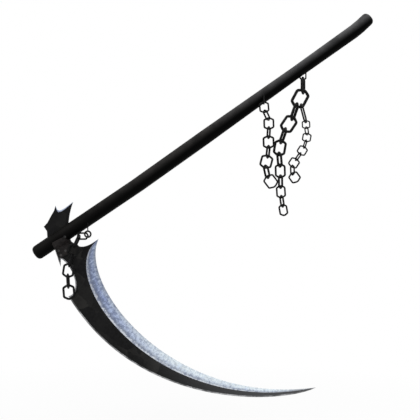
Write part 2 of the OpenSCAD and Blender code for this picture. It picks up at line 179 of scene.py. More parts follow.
IMAGE_POINTS: dict[str, ImagePoint] = {
    "blade_point": ImagePoint(316.0, 387.5, "blade_plate", (1.0, 0.1)),
    "blade_heel": ImagePoint(98.6, 238.7, "blade_plate", (0.35, -1.0)),
    "wing_inner_point": ImagePoint(73.0, 201.6, "blade_plate", (0.05, -1.0)),
    "wing_outer_point": ImagePoint(55.6, 205.6, "blade_plate", (-0.75, -1.0)),
    "wing_corner": ImagePoint(44.2, 226.8, "blade_plate", (-1.0, 0.0)),
    "neck_spike": ImagePoint(60.3, 266.0, "blade_plate", (-0.3, 1.0)),
    "back_spur": ImagePoint(68.7, 295.3, "blade_plate", (-1.0, -0.2)),
    "butt_end": ImagePoint(372.0, 19.0, "pole", (1.0, 0.0)),
    "head_end": ImagePoint(32.4, 251.0, "pole", (-1.0, 0.0)),
    "near_chain_end": ImagePoint(271.0, 182.0, "near_link_9_iron"),
    "long_chain_first": ImagePoint(300.0, 97.4, "long_link_1_iron"),
    "long_chain_middle": ImagePoint(279.7, 158.3, "long_link_6_iron"),
    "long_chain_end": ImagePoint(283.0, 209.1, "long_link_11_iron"),
    "side_chain_end": ImagePoint(295.3, 179.1, "side_link_10_iron"),
    "head_chain_end": ImagePoint(69.5, 291.5, "head_link_7_iron"),
    "neck_stud": ImagePoint(73.8, 245.2, "neck_stud"),
}


# ---- meshes ----

def grid_quads(rows: int, columns: int, close_rows: bool = False,
               close_columns: bool = False) -> np.ndarray:
    """Faces of a grid whose vertex (r, c) is number r * columns + c.

    Args:
        rows: How many rows of vertices there are.
        columns: How many vertices each row has.
        close_rows: Whether the last row joins the first.
        close_columns: Whether each row's last vertex joins its first.

    Returns:
        An array of quads.
    """
    r = np.arange(rows if close_rows else rows - 1)[:, None]
    c = np.arange(columns if close_columns else columns - 1)[None, :]
    below, beside = (r + 1) % rows, (c + 1) % columns
    corners = (r * columns + c, r * columns + beside, below * columns + beside,
               below * columns + c)
    filled = [np.broadcast_to(corner, (r.size, c.size)) for corner in corners]
    return np.stack(filled, axis=-1).reshape(-1, 4)


def new_piece(name: str, vertices: np.ndarray, faces: Sequence[Sequence[int]],
              smooth: bool = True) -> bpy.types.Object:
    """Makes a piece from vertices and faces, with its object at the origin.

    Args:
        name: The piece's name.
        vertices: Rows of x, y, z in metres.
        faces: Lists of vertex numbers.
        smooth: Whether the faces shade as one curved surface.

    Returns:
        The new object.
    """
    mesh = bpy.data.meshes.new(name)
    mesh.from_pydata(vertices.tolist(), [], [list(map(int, f)) for f in faces])
    mesh.update()
    mesh.polygons.foreach_set("use_smooth", np.full(len(mesh.polygons), smooth))
    piece = bpy.data.objects.new(name, mesh)
    bpy.context.scene.collection.objects.link(piece)
    return piece


def vertices_of(piece: bpy.types.Object) -> np.ndarray:
    """A mesh's vertices as rows of x, y, z.

    Args:
        piece: An object at the origin.

    Returns:
        The vertices' places in metres.
    """
    places = np.empty(3 * len(piece.data.vertices))
    piece.data.vertices.foreach_get("co", places)
    return places.reshape(-1, 3)


# ---- finishes ----

@dataclass(frozen=True)
class Nodes:
    """A short way to write a material's nodes."""

    tree: bpy.types.NodeTree

    def add(self, kind: str, inputs: dict[str | int, object] | None = None,
            **settings: object) -> bpy.types.Node:
        """Adds a node, sets its settings, and sets or links its inputs.

        Args:
            kind: The node's type.
            inputs: Values or sockets by the input's name or number.
            **settings: The node's own properties.

        Returns:
            The new node.
        """
        node = self.tree.nodes.new(kind)
        for name, value in settings.items():
            setattr(node, name, value)
        for name, value in (inputs or {}).items():
            if isinstance(value, bpy.types.NodeSocket):
                self.tree.links.new(value, node.inputs[name])
            else:
                node.inputs[name].default_value = value
        return node

    def place(self, turn: float = 0.0, stretch: tuple[float, float, float] = (1.0, 1.0, 1.0)
              ) -> bpy.types.NodeSocket:
        """Object coordinates, turned about Y and stretched.

        Args:
            turn: The turn in radians.
            stretch: The scale along each turned axis.

        Returns:
            The socket of the turned place.
        """
        at = self.add("ShaderNodeTexCoord").outputs["Object"]
        turned = self.add("ShaderNodeMapping", {"Vector": at, "Rotation": (0.0, turn, 0.0)})
        return self.add("ShaderNodeMapping", {"Vector": turned.outputs[0], "Scale": stretch}
                        ).outputs[0]

    def noise(self, at: bpy.types.NodeSocket, scale: float, detail: float = 4.0,
              roughness: float = 0.55) -> bpy.types.NodeSocket:
        """Cloudy noise, from 0 to 1.

        Args:
            at: Where it is read.
            scale: How many features a metre holds.
            detail: How many finer layers are added.
            roughness: How strong those are.

        Returns:
            The noise's value.
        """
        return self.add("ShaderNodeTexNoise", {"Vector": at, "Scale": scale, "Detail": detail,
                                               "Roughness": roughness}).outputs["Fac"]

    def spread(self, value: bpy.types.NodeSocket, low: float, high: float,
               to_low: float = 0.0, to_high: float = 1.0) -> bpy.types.NodeSocket:
        """Maps a value's range onto another, and stops at its ends.

        Args:
            value: The value to map.
            low: Where the range starts.
            high: Where it ends.
            to_low: What the start becomes.
            to_high: What the end becomes.

        Returns:
            The mapped value.
        """
        return self.add("ShaderNodeMapRange", {"Value": value, "From Min": low, "From Max": high,
                                               "To Min": to_low, "To Max": to_high}
                        ).outputs["Result"]

    def mix(self, share: bpy.types.NodeSocket | float, first: object, second: object
            ) -> bpy.types.NodeSocket:
        """A colour between two.

        Args:
            share: How much of the second there is.
            first: A colour or a socket.
            second: A colour or a socket.

        Returns:
            The mixed colour.
        """
        node = self.add("ShaderNodeMix", data_type="RGBA")
        ends = {0: share, 6: first, 7: second}
        for number, value in ends.items():
            if isinstance(value, bpy.types.NodeSocket):
                self.tree.links.new(value, node.inputs[number])
            else:
                node.inputs[number].default_value = value
        return node.outputs[2]

    def sum(self, first: object, second: object, operation: str = "ADD") -> bpy.types.NodeSocket:
        """Two values joined by a sum, a product or the like.

        Args:
            first: A value or a socket.
            second: A value or a socket.
            operation: How they are joined.

        Returns:
            The result.
        """
        return self.add("ShaderNodeMath", {0: first, 1: second}, operation=operation).outputs[0]


def rgb(red: float, green: float, blue: float) -> tuple[float, float, float, float]:
    """A colour with full alpha."""
    return (red, green, blue, 1.0)


@dataclass(frozen=True)
class Finish:
    """A procedural finish: its name, and the shine that all of it shares."""

    name: str
    metallic: float = 0.0
    specular: float = 0.5
    bump: float = 0.1
    bump_depth: float = 0.0004

    def paint(self, nodes: Nodes) -> tuple[object, object, bpy.types.NodeSocket]:
        """The colour, the roughness and the height that the finish varies.

        Args:
            nodes: The material's node writer.

        Returns:
            A colour socket, a roughness socket or value, and a height socket.
        """
        raise NotImplementedError

    def make(self) -> bpy.types.Material:
        """Makes the finish's material.

        Returns:
            The material.
        """
        material = bpy.data.materials.new(self.name)
        material.use_nodes = True
        tree = material.node_tree
        tree.nodes.clear()
        nodes = Nodes(tree)
        colour, roughness, height = self.paint(nodes)
        shader = nodes.add("ShaderNodeBsdfPrincipled",
                           {"Base Color": colour, "Roughness": roughness})
        shader.inputs["Metallic"].default_value = self.metallic
        shader.inputs["Specular IOR Level"].default_value = self.specular
        bump = nodes.add("ShaderNodeBump", {"Height": height, "Strength": self.bump,
                                            "Distance": self.bump_depth})
        tree.links.new(bump.outputs[0], shader.inputs["Normal"])
        output = nodes.add("ShaderNodeOutputMaterial")
        tree.links.new(shader.outputs[0], output.inputs["Surface"])
        return material


@dataclass(frozen=True)
class StainedPole(Finish):
    """Satin black wood with long grain along the pole, and a painted highlight on its upper side
    that turns brown towards the head.
    """

    pitch: float = math.radians(35.4)

    def paint(self, nodes: Nodes) -> tuple[object, object, bpy.types.NodeSocket]:
        """Grain is noise stretched 30 to 1 along the pole; its upper side is painted pale as a
        highlight.

        The painted highlight follows the height across the pole, is broken up by blotchy noise,
        and turns dim and brown towards the head.

        Args:
            nodes: The material's node writer.

        Returns:
            A colour socket, a roughness socket, and a height socket.
        """
        along = nodes.place(self.pitch, (1.0, 30.0, 30.0))
        grain = nodes.noise(along, 9.0, 6.0, 0.6)
        blotch = nodes.noise(nodes.place(), 26.0, 4.0)
        run = nodes.add("ShaderNodeSeparateXYZ", {0: nodes.place(self.pitch)})
        # Painted highlight: the pole's upper side is painted paler, as if lit from above; blotchy
        # noise breaks it up.
        top_light_share = nodes.sum(nodes.spread(run.outputs[2], -0.005, 0.016), 1.3, "POWER")
        painted_top_highlight = nodes.sum(top_light_share, nodes.spread(blotch, 0.3, 0.62, 0.45, 1.0), "MULTIPLY")
        black = nodes.mix(nodes.spread(grain, 0.35, 0.7), rgb(0.0004, 0.0004, 0.0005),
                          rgb(0.0014, 0.0013, 0.0013))
        # The painted highlight's colour: dim brown near the head, pale grey towards the butt.
        brown = nodes.mix(nodes.spread(run.outputs[0], -0.32, -0.05), rgb(0.0085, 0.008, 0.0075),
                          rgb(0.034, 0.032, 0.031))
        pale = nodes.mix(nodes.spread(run.outputs[0], 0.1, 0.42), brown, rgb(0.09, 0.09, 0.092))
        colour = nodes.mix(painted_top_highlight, black, pale)
        rough = nodes.spread(grain, 0.3, 0.75, 0.42, 0.6)
        return colour, rough, nodes.sum(grain, blotch)


@dataclass(frozen=True)
class DarkPlate(Finish):
    """The blade's flat: almost black scale with faint warmer patches of painted light, and forge
    marks.
    """

    def paint(self, nodes: Nodes) -> tuple[object, object, bpy.types.NodeSocket]:
        """Fine noise varies the near black; broad lighter patches, Voronoi cells bent by noise,
        are painted light standing for hammered facets that catch the lamp.

        The wing is painted darker as shade, and the flat grows lighter towards the point, by the
        mesh's own share of the way there.

        Args:
            nodes: The material's node writer.

        Returns:
            A colour socket, a roughness socket, and a height socket.
        """
        at = nodes.place()
        fine, broad = nodes.noise(at, 140.0, 5.0), nodes.noise(at, 13.0, 4.0)
        bent = nodes.add("ShaderNodeVectorMath",
                         {0: at, 1: nodes.sum(broad, 0.05, "MULTIPLY")}).outputs[0]
        cells = nodes.add("ShaderNodeTexVoronoi", {"Vector": bent, "Scale": 24.0},
                          feature="F1").outputs["Color"]
        cell = nodes.add("ShaderNodeSeparateColor", {0: cells}).outputs[0]
        # Painted light: lighter patches stand for hammered facets catching the lamp.
        painted_facet_light = nodes.sum(nodes.spread(cell, 0.35, 0.9), nodes.spread(broad, 0.38, 0.55),
                          "MULTIPLY")
        along = nodes.add("ShaderNodeAttribute", attribute_name="along").outputs["Fac"]
        up = nodes.add("ShaderNodeSeparateXYZ", {0: at}).outputs[2]
        dark = nodes.mix(nodes.spread(fine, 0.35, 0.7), rgb(0.0035, 0.0035, 0.0038),
                         rgb(0.0085, 0.0085, 0.0088))
        dark = nodes.mix(painted_facet_light, dark, rgb(0.02, 0.0195, 0.0185))
        # Painted shade: the wing above the neck is painted darker, as a fold turned from the lamp.
        dark = nodes.mix(nodes.spread(up, -0.235, -0.19, 0.0, 0.62), dark,
                         rgb(0.0028, 0.0028, 0.0029))
        colour = nodes.mix(nodes.sum(nodes.spread(along, 0.22, 0.85), 1.5, "POWER"), dark,
                           rgb(0.075, 0.076, 0.08))
        return colour, nodes.spread(broad, 0.3, 0.7, 0.5, 0.66), nodes.sum(fine, broad)


@dataclass(frozen=True)
class GroundEdge(Finish):
    """The cutting bevel: mottled blue-white steel, darker by the flat and whiter at the point."""

    def paint(self, nodes: Nodes) -> tuple[object, object, bpy.types.NodeSocket]:
        """Bands across the bevel come from the mesh's own attribute, 0 at the flat, 1 at the rim.

        Args:
            nodes: The material's node writer.

        Returns:
            A colour socket, a roughness socket, and a height socket.
        """
        at = nodes.place()
        across = nodes.add("ShaderNodeAttribute", attribute_name="across").outputs["Fac"]
        along = nodes.add("ShaderNodeAttribute", attribute_name="along").outputs["Fac"]
        mottle = nodes.noise(at, 120.0, 6.0, 0.7)
        speckle = nodes.noise(at, 300.0, 4.0, 0.7)
        scratch = nodes.noise(nodes.place(math.radians(40.0), (1.0, 1.0, 3.5)), 60.0, 6.0, 0.7)
        wander = nodes.sum(across, nodes.spread(scratch, 0.35, 0.65, -0.08, 0.08))
        ramp = nodes.add("ShaderNodeValToRGB", {"Fac": wander})
        stops = ((0.0, rgb(0.62, 0.64, 0.68)), (0.11, rgb(0.68, 0.72, 0.8)),
                 (0.2, rgb(0.13, 0.15, 0.22)), (0.36, rgb(0.2, 0.25, 0.42)),
                 (0.52, rgb(0.34, 0.42, 0.7)), (0.66, rgb(0.3, 0.37, 0.6)),
                 (0.8, rgb(0.46, 0.53, 0.68)), (1.0, rgb(0.36, 0.38, 0.42)))
        while len(ramp.color_ramp.elements) < len(stops):
            ramp.color_ramp.elements.new(0.5)
        for element, (position, colour) in zip(ramp.color_ramp.elements, stops):
            element.position, element.color = position, colour
        colour = nodes.mix(nodes.spread(along, 0.05, 0.17, 0.45, 0.0), ramp.outputs["Color"],
                           rgb(0.13, 0.15, 0.19))
        rimward = nodes.sum(nodes.spread(across, 0.1, 0.62, 0.2, 1.0),
                            nodes.spread(along, 0.12, 0.42), "MULTIPLY")
        colour = nodes.mix(rimward, colour, rgb(0.86, 0.95, 1.0))
        pale = nodes.sum(nodes.spread(scratch, 0.5, 0.62, 0.0, 0.75),
                         nodes.spread(across, 0.25, 0.5, 0.25, 0.8), "MULTIPLY")
        colour = nodes.mix(pale, colour, rgb(0.62, 0.74, 0.94))
        streak = nodes.sum(nodes.spread(mottle, 0.47, 0.59, 0.0, 0.8),
                           nodes.spread(rimward, 0.0, 1.0, 1.0, 0.4), "MULTIPLY")
        colour = nodes.mix(streak, colour, rgb(0.12, 0.15, 0.25))
        colour = nodes.mix(nodes.spread(speckle, 0.53, 0.66, 0.0, 0.4), colour,
                           rgb(0.2, 0.23, 0.3))
        colour = nodes.mix(nodes.spread(along, 0.9, 1.0, 0.0, 0.75), colour,
                           rgb(0.2, 0.205, 0.22))
        return colour, nodes.spread(mottle, 0.3, 0.7, 0.38, 0.6), nodes.sum(mottle, speckle)


@dataclass(frozen=True)
class BrightBevel(Finish):
    """The spine's thin bevel: grey filed steel."""

    def paint(self, nodes: Nodes) -> tuple[object, object, bpy.types.NodeSocket]:
        """Broad noise moves between a dark and a light grey; fine noise pits it.

        Args:
            nodes: The material's node writer.

        Returns:
            A colour socket, a roughness socket, and a height socket.
        """
        at = nodes.place()
        fine, broad = nodes.noise(at, 220.0, 5.0), nodes.noise(at, 40.0, 4.0)
        colour = nodes.mix(nodes.spread(broad, 0.4, 0.62), rgb(0.08, 0.082, 0.085),
                           rgb(0.5, 0.505, 0.52))
        colour = nodes.mix(nodes.spread(fine, 0.5, 0.64, 0.0, 0.6), colour,
                           rgb(0.06, 0.06, 0.06))
        return colour, nodes.spread(fine, 0.3, 0.7, 0.36, 0.55), fine


@dataclass(frozen=True)
class Wrought(Finish):
    """Wrought iron: two near blacks in hammered patches, a little shinier where worn."""

    deep: tuple[float, float, float, float] = (0.0012, 0.0012, 0.0014, 1.0)
    worn: tuple[float, float, float, float] = (0.006, 0.0058, 0.0058, 1.0)
    patches: float = 55.0

    def paint(self, nodes: Nodes) -> tuple[object, object, bpy.types.NodeSocket]:
        """Broad noise mixes the two colours; fine noise gives the surface its pits.

        Args:
            nodes: The material's node writer.

        Returns:
            A colour socket, a roughness socket, and a height socket.
        """
        at = nodes.place()
        broad, fine = nodes.noise(at, self.patches, 4.0), nodes.noise(at, 420.0, 4.0)
        colour = nodes.mix(nodes.spread(broad, 0.38, 0.68), self.deep, self.worn)
        return colour, nodes.spread(broad, 0.3, 0.7, 0.6, 0.4), nodes.sum(broad, fine)


# ---- the blade ----

def bezier(controls: np.ndarray, t: np.ndarray) -> np.ndarray:
    """A cubic curve: the controls weighted by (1-t)^3, 3(1-t)^2 t, 3(1-t) t^2 and t^3.

    Args:
        controls: Four rows of x and z.
        t: Shares of the way along.

    Returns:
        A row of x and z for each share.
    """
    weights = np.stack(((1 - t) ** 3, 3 * (1 - t) ** 2 * t, 3 * (1 - t) * t ** 2, t ** 3), axis=-1)
    return weights @ controls


def beside(controls: np.ndarray, t: np.ndarray, distance: float) -> np.ndarray:
    """Places beside a curve, square to it on its left.

    Args:
        controls: The curve's four controls.
        t: Shares of the way along.
        distance: How far to the left, in millimetres.

    Returns:
        A row of x and z for each share.
    """
    way = bezier(controls, t + 0.001) - bezier(controls, t - 0.001)
    way /= np.linalg.norm(way, axis=1, keepdims=True)
    return bezier(controls, t) + distance * np.column_stack((-way[:, 1], way[:, 0]))


class Zone(Enum):
    """A finish of the blade, by its material slot."""

    FLAT = 0
    CUTTING = 1
    SPINE = 2


@dataclass
class BladeRun:
    """One run of the blade's rim.

    Its flat's edge is stated, or lies width inside the rim. The zone is its bevel's finish, and
    leaves is that of the stretch from its last place to the next run.
    """

    rim: np.ndarray
    zone: Zone
    leaves: Zone
    thick: float
    width: np.ndarray | float = 0.4
    flat: np.ndarray | None = None


@dataclass
class Blade:
    """The crescent blade with its neck and wing, as one plate ground thin at its rims.

    Sizes are millimetres in the blade's own axes, from the middle of its neck in the pole.
    """

    heel: tuple[float, float] = (103.0, -7.5)
    reach: float = 608.0
    drop: float = 416.0
    plate: float = 5.0
    edge_rim: float = 0.6
    spine_rim: float = 2.0
    spine_bevel: float = 4.0
    back_bevel: float = 3.4
    back_rim: float = 2.6
    neck_share: float = 0.5
    wing_bevel: float = 5.0
    ease: float = 0.4
    heel_lead: float = 40.0
    bow_place: float = -140.0
    head_run: float = 255.0
    pitch: float = 35.4
    bow: float = 1.4
    set_angle: float = 34.0
    long_steps: int = 160
    arc_steps: int = 30
    across_steps: int = 6

    def share(self, x: float, z: float) -> list[float]:
        """A place as shares of the blade's reach and drop from its heel."""
        return [self.heel[0] + x * self.reach, self.heel[1] + z * self.drop]

    def eased(self, rim: np.ndarray, width: np.ndarray) -> np.ndarray:
        """The rim moved inwards along each corner's bisector, so that its sides move by width.

        Args:
            rim: The closed outline, with its inside on the left.
            width: How far the sides at each corner move.

        Returns:
            A place for each corner.
        """
        to = np.roll(rim, -1, axis=0) - rim
        to /= np.linalg.norm(to, axis=1, keepdims=True)
        came = np.roll(to, 1, axis=0)
        inward = np.column_stack((-to[:, 1] - came[:, 1], to[:, 0] + came[:, 0]))
        inward /= np.linalg.norm(inward, axis=1, keepdims=True)
        square = (inward * np.column_stack((-to[:, 1], to[:, 0]))).sum(axis=1)
        return rim + inward * (width / square)[:, None]

    def outlines(self) -> tuple[np.ndarray, np.ndarray, np.ndarray, np.ndarray, np.ndarray]:
        """The blade's rim and the edge of its flat, run by run, with the inside on the left.

        Returns:
            The rim, the flat's edge, the rim's thickness, the zone from each place to the
            next, and how far along the blade from heel to point each place lies.
        """
        heel, point = list(self.heel), self.share(1.0, -1.0)
        spur, notch, spike = [18.5, -168.3], [-2.5, -63.0], [-3.4, -85.1]
        wing_in, wing_out = [31.6, 96.6], [-17.4, 85.7]
        spine = np.array([spur, [spur[0] + 0.329 * self.reach, spur[1] - 0.796 * self.drop],
                          self.share(0.868, -1.105), point])
        edge = np.array([heel, self.share(-0.1, -0.306), self.share(0.331, -1.131), point])
        hollow = np.array([[27.1, -15.9], [37.0, -17.0], [47.2, -50.3], heel])
        back = np.array([notch, [notch[0] + 32.2, notch[1] - 16.9],
                         [spur[0] + 40.3, spur[1] + 11.4], spur])
        wing = np.array([wing_out, [-12.4, 70.7], [-11.2, 60.8], wing_in])
        wing_flat = np.array([[wing_out[0], wing_out[1] - 2], wing[1] - [0, self.wing_bevel],
                              wing[2] - [0, self.wing_bevel],
                              [wing_in[0] - 1.6, wing_in[1] - 3]])
        long_t = np.linspace(0, 1, self.long_steps + 1)
        arc_t = np.linspace(0, 1, self.arc_steps + 1)
        spine_flat = beside(spine, 0.03 + 0.92 * long_t, self.spine_bevel)
        grind = np.array([beside(hollow, np.array([0.95]), -1.5)[0], self.share(-0.208, -0.268),
                          self.share(0.26, -1.2), spine_flat[-1]])
        neck_root = [-26, -18]
        neck = np.vstack(([neck_root, spike], bezier(back, arc_t[:-1])))
        # The neck and spike are ground narrower than the hollow back.
        neck_width = np.where(np.arange(len(neck)) < 2, self.neck_share, 1.0) * self.back_bevel
        right_side = [[20, 0], [12, 15], [18.5, 36.4], [21, 56.6], [24.6, 73.9]]
        left_side = [[-21.6, 71.4], [-30.3, 56.6], [-40.3, 37.8], [-50.3, 26.6], [-41.5, 14],
                     [-40.3, -5]]
        runs = [
            BladeRun(neck, Zone.SPINE, Zone.SPINE, self.back_rim, neck_width),
            BladeRun(bezier(spine, long_t), Zone.SPINE, Zone.SPINE, self.spine_rim,
                     flat=spine_flat),
            BladeRun(bezier(edge, long_t)[::-1][1:], Zone.CUTTING, Zone.CUTTING, self.edge_rim,
                     flat=bezier(grind, long_t)[::-1][1:]),
            BladeRun(np.vstack((bezier(hollow, 0.88 * arc_t)[::-1], right_side)),
                     Zone.FLAT, Zone.FLAT, self.plate - 2 * self.ease, self.ease),
            BladeRun(bezier(wing, arc_t)[::-1], Zone.CUTTING, Zone.FLAT, self.edge_rim,
                     flat=bezier(wing_flat, arc_t)[::-1]),
            BladeRun(np.array(left_side), Zone.FLAT, Zone.FLAT, self.plate - 2 * self.ease,
                     self.ease)]
        rim = np.vstack([run.rim for run in runs])
        width = np.concatenate([np.broadcast_to(run.width, len(run.rim)) for run in runs])
        eased = np.split(self.eased(rim, width), np.cumsum([len(run.rim) for run in runs])[:-1])
        flat = np.vstack([e if run.flat is None else run.flat for e, run in zip(eased, runs)])
        thick = np.concatenate([np.full(len(run.rim), run.thick) for run in runs])
        zones = np.concatenate([np.append(np.full(len(run.rim) - 1, run.zone.value),
                                          run.leaves.value) for run in runs])
        along = np.clip((rim[:, 0] - heel[0] + self.heel_lead) / self.reach, 0, 1)
        return rim, flat, thick, zones, along

    def placed(self, flat: np.ndarray, y: np.ndarray) -> np.ndarray:
        """Blade places in the row's frame: turned by the blade's set and moved to the neck.

        Args:
            flat: Rows of x and z in the blade's axes, in millimetres.
            y: Each place's y.

        Returns:
            Rows of x, y, z in metres.
        """
        pitch, bow = math.radians(self.pitch), math.radians(self.bow)
        turn = math.radians(self.pitch - self.bow - self.set_angle)
        u = self.bow_place - self.head_run * math.cos(bow)
        v = self.head_run * math.sin(bow)
        x0 = u * math.cos(pitch) - v * math.sin(pitch)
        z0 = u * math.sin(pitch) + v * math.cos(pitch)
        x = x0 + flat[:, 0] * math.cos(turn) - flat[:, 1] * math.sin(turn)
        z = z0 + flat[:, 0] * math.sin(turn) + flat[:, 1] * math.cos(turn)
        return np.column_stack((x, y, z)) * MM

    def build(self) -> bpy.types.Object:
        """Lofts both faces from the flat's edge to the rim, and closes them with the two flats.

        The place (i, k) is flat_i + (rim_i - flat_i) k/n, and its y falls in a straight line
        from half the plate to half the rim.

        Returns:
            The blade.
        """
        rim, flat, thick, zones, along = self.outlines()
        count, rows = len(rim), self.across_steps + 1
        share = np.linspace(0, 1, rows)[:, None]
        x = flat[None, :, 0] + (rim - flat)[None, :, 0] * share
        z = flat[None, :, 1] + (rim - flat)[None, :, 1] * share
        y = self.plate / 2 + (thick / 2 - self.plate / 2)[None, :] * share
        places = np.column_stack((x.ravel(), z.ravel()))
        vertices = np.vstack((self.placed(places, -y.ravel()), self.placed(places, y.ravel())))
        side = rows * count
        bevel = grid_quads(rows, count, close_columns=True)
        last = np.arange(count) + (rows - 1) * count
        after = np.roll(last, -1)
        rim_wall = np.column_stack((last, after, after + side, last + side))
        ears = np.array(tessellate_polygon([[Vector((p[0], p[1], 0)) for p in flat]]))
        faces = (bevel.tolist() + (bevel[:, ::-1] + side).tolist() + rim_wall.tolist()
                 + ears.tolist() + (ears[:, ::-1] + side).tolist())
        piece = new_piece("blade_plate", vertices, faces, smooth=False)
        zone = np.concatenate((np.tile(zones, 2 * (rows - 1) + 1),
                               np.full(2 * len(ears), Zone.FLAT.value)))
        piece.data.polygons.foreach_set("material_index", zone.astype(np.int32))
        self.write(piece, "across", np.tile(np.repeat(np.linspace(0, 1, rows), count), 2))
        self.write(piece, "along", np.tile(along, 2 * rows))
        outward(piece)
        return piece

    def write(self, piece: bpy.types.Object, name: str, values: np.ndarray) -> None:
        """Keeps a value for each vertex.

        Args:
            piece: The piece that keeps it.
            name: The attribute's name.
            values: One number for each vertex.
        """
        attribute = piece.data.attributes.new(name, "FLOAT", "POINT")
        attribute.data.foreach_set("value", values.astype(np.float32))


def outward(piece: bpy.types.Object) -> None:
    """Turns a closed mesh's faces outwards.

    Args:
        piece: The piece to turn.
    """
    mesh = bmesh.new()
    mesh.from_mesh(piece.data)
    bmesh.ops.recalc_face_normals(mesh, faces=mesh.faces)
    mesh.to_mesh(piece.data)
    mesh.free()


# ---- the chains ----

@dataclass
class ChainLink:
    """One forged link, made over its CAD node: a long hexagon with softened corners.

    Its inner face, where the next link bears, is the CAD link's own. Its outside is fuller.
    """

    node: str
    side_share: float = 0.6
    end_flat: float = 1.2
    fuller: float = 0.34
    roll: float = 0.0
    path_steps: int = 120
    bar_sides: int = 16
    softening: float = 0.7
    hammer: float = 0.015
    hammer_waves: int = 7
    full_to: float = 0.3
    fade_over: float = 0.25

    def axes(self) -> tuple[np.ndarray, np.ndarray, np.ndarray]:
        """The CAD link's middle, its axes and its size.

        The axes are those along which its vertices spread most, less and least.

        Returns:
            The middle, three rows of axes (long, wide, thick), and the size along each.
        """
        places = vertices_of(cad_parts[self.node])
        places = np.unique(np.round(places, 7), axis=0)
        middle = places.mean(axis=0)
        _, axes = np.linalg.eigh(np.cov((places - middle).T))
        axes = axes.T[::-1]
        size = np.ptp((places - middle) @ axes.T, axis=0)
        order = np.argsort(-size)
        return middle, axes[order], size[order]

    def path(self, length: float, width: float, bar: float) -> np.ndarray:
        """The bar's middle line: eight corners joined by straight runs, then averaged.

        Args:
            length: The link's whole length.
            width: Its whole width.
            bar: Its bar's diameter.

        Returns:
            Rows of along and across.
        """
        half, wide = (length - bar) / 2, (width - bar) / 2
        flat, side = self.end_flat * bar / 2, self.side_share * length / 2
        corners = np.array([[half, flat], [side, wide], [-side, wide], [-half, flat],
                            [-half, -flat], [-side, -wide], [side, -wide], [half, -flat]])
        closed = np.vstack((corners, corners[:1]))
        run = np.concatenate(([0.0], np.cumsum(np.linalg.norm(np.diff(closed, axis=0), axis=1))))
        at = np.arange(self.path_steps) * run[-1] / self.path_steps
        line = np.column_stack([np.interp(at, run, closed[:, k]) for k in (0, 1)])
        reach = max(1, round(self.softening * bar / 2 * self.path_steps / run[-1]))
        return sum(np.roll(line, k, axis=0) for k in range(-reach, reach + 1)) / (2 * reach + 1)

    def build(self) -> bpy.types.Object:
        """Carries an egg-shaped bar along the link's path: path + n r cos a + b s sin a.

        n is square to the path in the link's plane and points outwards, and b is square to that
        plane. r is the bar's radius less up to 3 hundredths, in slow waves that stand for
        hammer marks; where cos a points outwards it is (1 + 2 f) as long, and s is (1 + f) r
        along the straight sides and falls nearly to r round the ends.

        Returns:
            The link.
        """
        middle, axes, (length, width, bar) = self.axes()
        turned = math.radians(self.roll)
        axes = np.stack((axes[0], axes[1] * math.cos(turned) + axes[2] * math.sin(turned),
                         axes[2] * math.cos(turned) - axes[1] * math.sin(turned)))
        line = self.path(length, width, bar)
        way = np.roll(line, -1, axis=0) - np.roll(line, 1, axis=0)
        way /= np.linalg.norm(way, axis=1, keepdims=True)
        square = np.column_stack((way[:, 1], -way[:, 0]))
        turn = np.arange(self.bar_sides) * 2 * math.pi / self.bar_sides
        step = np.arange(self.path_steps)[:, None] * 2 * math.pi / self.path_steps
        phase = 1000 * middle.sum()
        wave = np.sin(self.hammer_waves * step + 2 * turn[None, :] + phase)
        radius = bar / 2 * (1 - self.hammer + self.hammer * wave)
        side = np.clip((self.full_to + self.fade_over - np.abs(line[:, :1]) / length)
                       / self.fade_over, 0, 1)
        out = radius * np.cos(turn) * np.where(np.cos(turn) > 0, 1 + 2 * self.fuller, 1)
        deep = radius * np.sin(turn) * (1 + self.fuller * side)
        flat = line[:, None, :] + square[:, None, :] * out[:, :, None]
        local = np.concatenate((flat, deep[:, :, None]), axis=2)
        vertices = middle + local.reshape(-1, 3) @ axes
        quads = grid_quads(self.path_steps, self.bar_sides, close_rows=True, close_columns=True)
        piece = new_piece(f"{self.node}_iron", vertices, quads)
        outward(piece)
        return piece


# ---- small fittings ----

@dataclass
class EyeCollar:
    """A fuller ring of iron laid round the head chain's eye, open to the chain as the eye is."""

    node: str = "head_eye"
    fuller: float = 0.55
    skin: float = 0.05 * MM
    steps: int = 72
    sides: int = 20

    def build(self) -> bpy.types.Object:
        """Turns an egg-shaped bar round the eye: (R + r cos a) round Y, and r sin a deep.

        r is the eye's bar and a hair more; where cos a points outwards it is (1 + 2 f) as long.

        Returns:
            The collar.
        """
        low, high = (np.array(corner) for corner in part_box(self.node))
        bar = (high[1] - low[1]) / 2
        ring = (high[0] - low[0]) / 2 - bar
        middle = np.array([(low[0] + high[0]) / 2, (low[1] + high[1]) / 2, low[2] + ring + bar])
        bar += self.skin
        turn = np.arange(self.steps)[:, None] * 2 * math.pi / self.steps
        a = np.arange(self.sides)[None, :] * 2 * math.pi / self.sides
        away = ring + bar * np.cos(a) * np.where(np.cos(a) > 0, 1 + 2 * self.fuller, 1)
        local = np.stack(np.broadcast_arrays(away * np.cos(turn), bar * np.sin(a),
                                             away * np.sin(turn)), axis=-1)
        quads = grid_quads(self.steps, self.sides, close_rows=True, close_columns=True)
        piece = new_piece("eye_collar", local.reshape(-1, 3) + middle, quads)
        outward(piece)
        return piece


